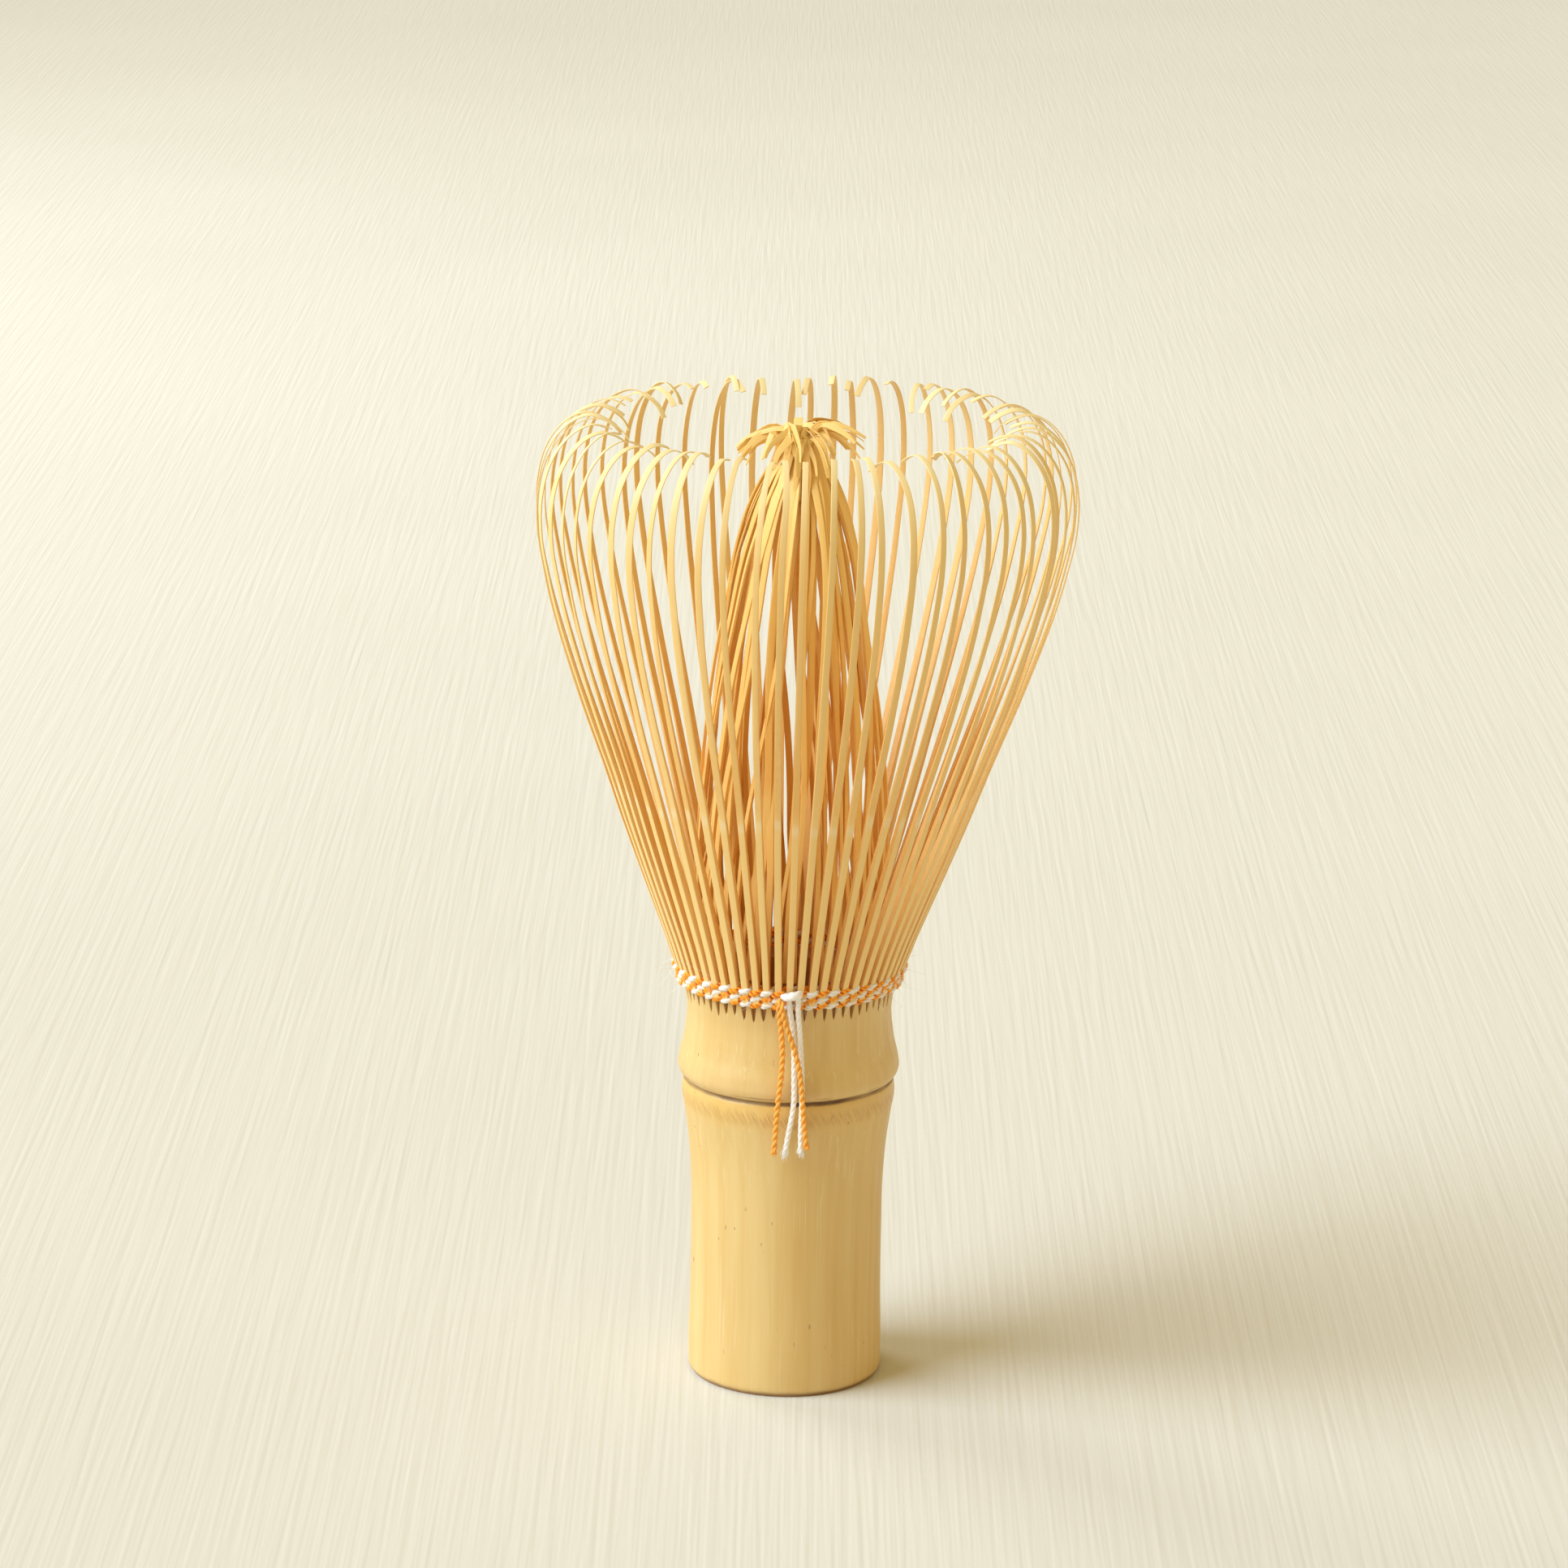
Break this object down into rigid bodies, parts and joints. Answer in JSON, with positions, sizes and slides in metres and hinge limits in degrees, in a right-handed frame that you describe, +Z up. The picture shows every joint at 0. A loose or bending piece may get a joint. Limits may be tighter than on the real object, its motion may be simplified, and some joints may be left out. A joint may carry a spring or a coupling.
{
  "type": "bamboo tea whisk",
  "caption": "Slim bamboo whisk: a hollow cylindrical handle split into a ring of springy outer tines round a curled inner tuft, bound with two-colour thread.",
  "frame": {"origin": "centre of the handle's flat foot, where the whisk stands", "axes": "+Z up along the culm, towards the tine tips; -Y is the front, where the thread ends hang; the tine basket leans slightly to +X"},
  "size_m": [0.0622, 0.0622, 0.1156],
  "materials": {
    "bamboo_culm": "satin bamboo rind",
    "bamboo_outer_tines": "split bamboo",
    "bamboo_inner_tines": "split bamboo",
    "orange_thread": "twisted thread",
    "white_thread": "soft thread"
  },
  "bodies": {
    "culm": {"handle": "bamboo_culm", "orange_thread_row_1": "orange_thread", "orange_thread_row_2": "orange_thread", "orange_thread_row_3": "orange_thread", "white_thread_row_1": "white_thread", "white_thread_row_2": "white_thread", "white_thread_row_3": "white_thread", "orange_thread_ends": "orange_thread", "white_thread_ends": "white_thread"},
    "outer_sector_01": {"outer_tines_01": "bamboo_outer_tines"},
    "outer_sector_02": {"outer_tines_02": "bamboo_outer_tines"},
    "outer_sector_03": {"outer_tines_03": "bamboo_outer_tines"},
    "outer_sector_04": {"outer_tines_04": "bamboo_outer_tines"},
    "outer_sector_05": {"outer_tines_05": "bamboo_outer_tines"},
    "outer_sector_06": {"outer_tines_06": "bamboo_outer_tines"},
    "outer_sector_07": {"outer_tines_07": "bamboo_outer_tines"},
    "outer_sector_08": {"outer_tines_08": "bamboo_outer_tines"},
    "outer_sector_09": {"outer_tines_09": "bamboo_outer_tines"},
    "outer_sector_10": {"outer_tines_10": "bamboo_outer_tines"},
    "outer_sector_11": {"outer_tines_11": "bamboo_outer_tines"},
    "outer_sector_12": {"outer_tines_12": "bamboo_outer_tines"},
    "outer_sector_13": {"outer_tines_13": "bamboo_outer_tines"},
    "outer_sector_14": {"outer_tines_14": "bamboo_outer_tines"},
    "outer_sector_15": {"outer_tines_15": "bamboo_outer_tines"},
    "outer_sector_16": {"outer_tines_16": "bamboo_outer_tines"},
    "inner_bundle": {"inner_tines_01": "bamboo_inner_tines", "inner_tines_02": "bamboo_inner_tines", "inner_tines_03": "bamboo_inner_tines", "inner_tines_04": "bamboo_inner_tines", "inner_tines_05": "bamboo_inner_tines", "inner_tines_06": "bamboo_inner_tines", "inner_tines_07": "bamboo_inner_tines", "inner_tines_08": "bamboo_inner_tines", "inner_tines_09": "bamboo_inner_tines", "inner_tines_10": "bamboo_inner_tines", "inner_tines_11": "bamboo_inner_tines", "inner_tines_12": "bamboo_inner_tines", "inner_tines_13": "bamboo_inner_tines", "inner_tines_14": "bamboo_inner_tines", "inner_tines_15": "bamboo_inner_tines", "inner_tines_16": "bamboo_inner_tines"}
  },
  "joints": [
    {"name": "outer_flex_01", "type": "hinge", "parent": "culm", "child": "outer_sector_01", "pos_m": [0.0018, -0.01212, 0.0499], "axis": [0.9892, 0.1467, 0], "range_deg": [-4, 4], "stiffness_Nm_per_rad": 0.005},
    {"name": "outer_flex_02", "type": "hinge", "parent": "culm", "child": "outer_sector_02", "pos_m": [0.0063, -0.01051, 0.0499], "axis": [0.8577, 0.5141, 0], "range_deg": [-4, 4], "stiffness_Nm_per_rad": 0.005},
    {"name": "outer_flex_03", "type": "hinge", "parent": "culm", "child": "outer_sector_03", "pos_m": [0.00984, -0.0073, 0.0499], "axis": [0.5957, 0.8032, 0], "range_deg": [-4, 4], "stiffness_Nm_per_rad": 0.005},
    {"name": "outer_flex_04", "type": "hinge", "parent": "culm", "child": "outer_sector_04", "pos_m": [0.01188, -0.00298, 0.0499], "axis": [0.243, 0.97, 0], "range_deg": [-4, 4], "stiffness_Nm_per_rad": 0.005},
    {"name": "outer_flex_05", "type": "hinge", "parent": "culm", "child": "outer_sector_05", "pos_m": [0.01212, 0.0018, 0.0499], "axis": [-0.1467, 0.9892, 0], "range_deg": [-4, 4], "stiffness_Nm_per_rad": 0.005},
    {"name": "outer_flex_06", "type": "hinge", "parent": "culm", "child": "outer_sector_06", "pos_m": [0.01051, 0.0063, 0.0499], "axis": [-0.5141, 0.8577, 0], "range_deg": [-4, 4], "stiffness_Nm_per_rad": 0.005},
    {"name": "outer_flex_07", "type": "hinge", "parent": "culm", "child": "outer_sector_07", "pos_m": [0.0073, 0.00984, 0.0499], "axis": [-0.8032, 0.5957, 0], "range_deg": [-4, 4], "stiffness_Nm_per_rad": 0.005},
    {"name": "outer_flex_08", "type": "hinge", "parent": "culm", "child": "outer_sector_08", "pos_m": [0.00298, 0.01188, 0.0499], "axis": [-0.97, 0.243, 0], "range_deg": [-4, 4], "stiffness_Nm_per_rad": 0.005},
    {"name": "outer_flex_09", "type": "hinge", "parent": "culm", "child": "outer_sector_09", "pos_m": [-0.0018, 0.01212, 0.0499], "axis": [-0.9892, -0.1467, 0], "range_deg": [-4, 4], "stiffness_Nm_per_rad": 0.005},
    {"name": "outer_flex_10", "type": "hinge", "parent": "culm", "child": "outer_sector_10", "pos_m": [-0.0063, 0.01051, 0.0499], "axis": [-0.8577, -0.5141, 0], "range_deg": [-4, 4], "stiffness_Nm_per_rad": 0.005},
    {"name": "outer_flex_11", "type": "hinge", "parent": "culm", "child": "outer_sector_11", "pos_m": [-0.00984, 0.0073, 0.0499], "axis": [-0.5957, -0.8032, 0], "range_deg": [-4, 4], "stiffness_Nm_per_rad": 0.005},
    {"name": "outer_flex_12", "type": "hinge", "parent": "culm", "child": "outer_sector_12", "pos_m": [-0.01188, 0.00298, 0.0499], "axis": [-0.243, -0.97, 0], "range_deg": [-4, 4], "stiffness_Nm_per_rad": 0.005},
    {"name": "outer_flex_13", "type": "hinge", "parent": "culm", "child": "outer_sector_13", "pos_m": [-0.01212, -0.0018, 0.0499], "axis": [0.1467, -0.9892, 0], "range_deg": [-4, 4], "stiffness_Nm_per_rad": 0.005},
    {"name": "outer_flex_14", "type": "hinge", "parent": "culm", "child": "outer_sector_14", "pos_m": [-0.01051, -0.0063, 0.0499], "axis": [0.5141, -0.8577, 0], "range_deg": [-4, 4], "stiffness_Nm_per_rad": 0.005},
    {"name": "outer_flex_15", "type": "hinge", "parent": "culm", "child": "outer_sector_15", "pos_m": [-0.0073, -0.00984, 0.0499], "axis": [0.8032, -0.5957, 0], "range_deg": [-4, 4], "stiffness_Nm_per_rad": 0.005},
    {"name": "outer_flex_16", "type": "hinge", "parent": "culm", "child": "outer_sector_16", "pos_m": [-0.00298, -0.01188, 0.0499], "axis": [0.97, -0.243, 0], "range_deg": [-4, 4], "stiffness_Nm_per_rad": 0.005},
    {"name": "inner_sway", "type": "hinge", "parent": "culm", "child": "inner_bundle", "pos_m": [0, 0, 0.051], "axis": [1, 0, 0], "range_deg": [-3, 3], "stiffness_Nm_per_rad": 0.05}
  ]
}
